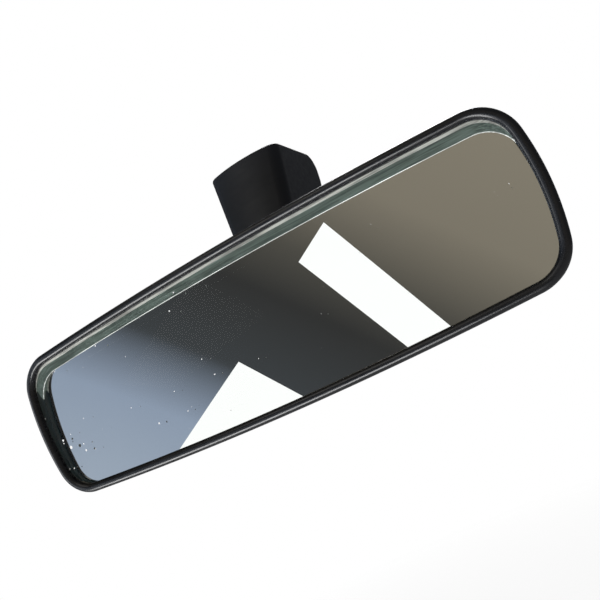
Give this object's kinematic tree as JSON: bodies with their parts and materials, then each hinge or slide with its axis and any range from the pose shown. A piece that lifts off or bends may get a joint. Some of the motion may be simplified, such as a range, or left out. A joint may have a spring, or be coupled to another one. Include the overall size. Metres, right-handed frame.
{
  "type": "interior rearview mirror",
  "caption": "Day and night interior rearview mirror: wedge glass in a rounded black rim, tilting head on a ball-jointed arm and a screwed roof foot.",
  "frame": {"origin": "centre of the foot's flat mounting face", "axes": "+Z out of the foot into the roof, +X along the mirror, the glass faces -Y"},
  "size_m": [0.24, 0.1117, 0.1188],
  "materials": {
    "zinc": "cast, matt",
    "black_plastic": "fine-grained, satin",
    "bezel_plastic": "smooth, satin",
    "spring_steel": "rolled",
    "black_metal": "black powder coat, satin",
    "steel": "zinc plated",
    "nylon": "natural nylon",
    "inner_plastic": "moulded, matt",
    "glass": "clear, ground edge",
    "silvering": "mirror",
    "backing": "dull film",
    "foam": "closed-cell foam",
    "lever_plastic": "satin"
  },
  "bodies": {
    "foot": {"mounting_bracket": "zinc", "foot_cover": "black_plastic", "cover_clips": "spring_steel", "ball_stud": "black_metal", "stud_pin": "steel"},
    "liner": {"ball_liner": "nylon"},
    "cup": {"socket_cup": "spring_steel"},
    "carrier": {"socket_carrier": "inner_plastic", "socket_clamp": "inner_plastic", "clamp_screws": "steel"},
    "head": {"rear_housing": "black_plastic", "front_bezel": "bezel_plastic", "mirror_glass": "glass", "silver_coating": "silvering", "backing_film": "backing", "glass_foam_strip": "foam", "hinge_pins": "steel", "lever_pin": "steel", "detent_spring": "spring_steel", "spring_screw": "steel"},
    "lever": {"day_night_lever": "lever_plastic"}
  },
  "joints": [
    {"name": "ball_yaw", "type": "hinge", "parent": "foot", "child": "liner", "pos_m": [0, -0.0625, -0.085], "axis": [0, 0, 1], "range_deg": [-16, 16]},
    {"name": "ball_pitch", "type": "hinge", "parent": "liner", "child": "cup", "pos_m": [0, -0.0625, -0.085], "axis": [1, 0, 0], "range_deg": [-12, 12]},
    {"name": "ball_roll", "type": "hinge", "parent": "cup", "child": "carrier", "pos_m": [0, -0.0625, -0.085], "axis": [0, 1, 0], "range_deg": [-8, 8]},
    {"name": "day_night_flip", "type": "hinge", "parent": "carrier", "child": "head", "pos_m": [0, -0.069, -0.059], "axis": [-1, 0, 0], "range_deg": [0, 4]},
    {"name": "lever_swing", "type": "hinge", "parent": "head", "child": "lever", "pos_m": [0, -0.068, -0.109], "axis": [-1, 0, 0], "range_deg": [0, 45]}
  ],
  "couplings": [
    {"joint": "lever_swing", "follows": "day_night_flip", "ratio": 11.25}
  ]
}
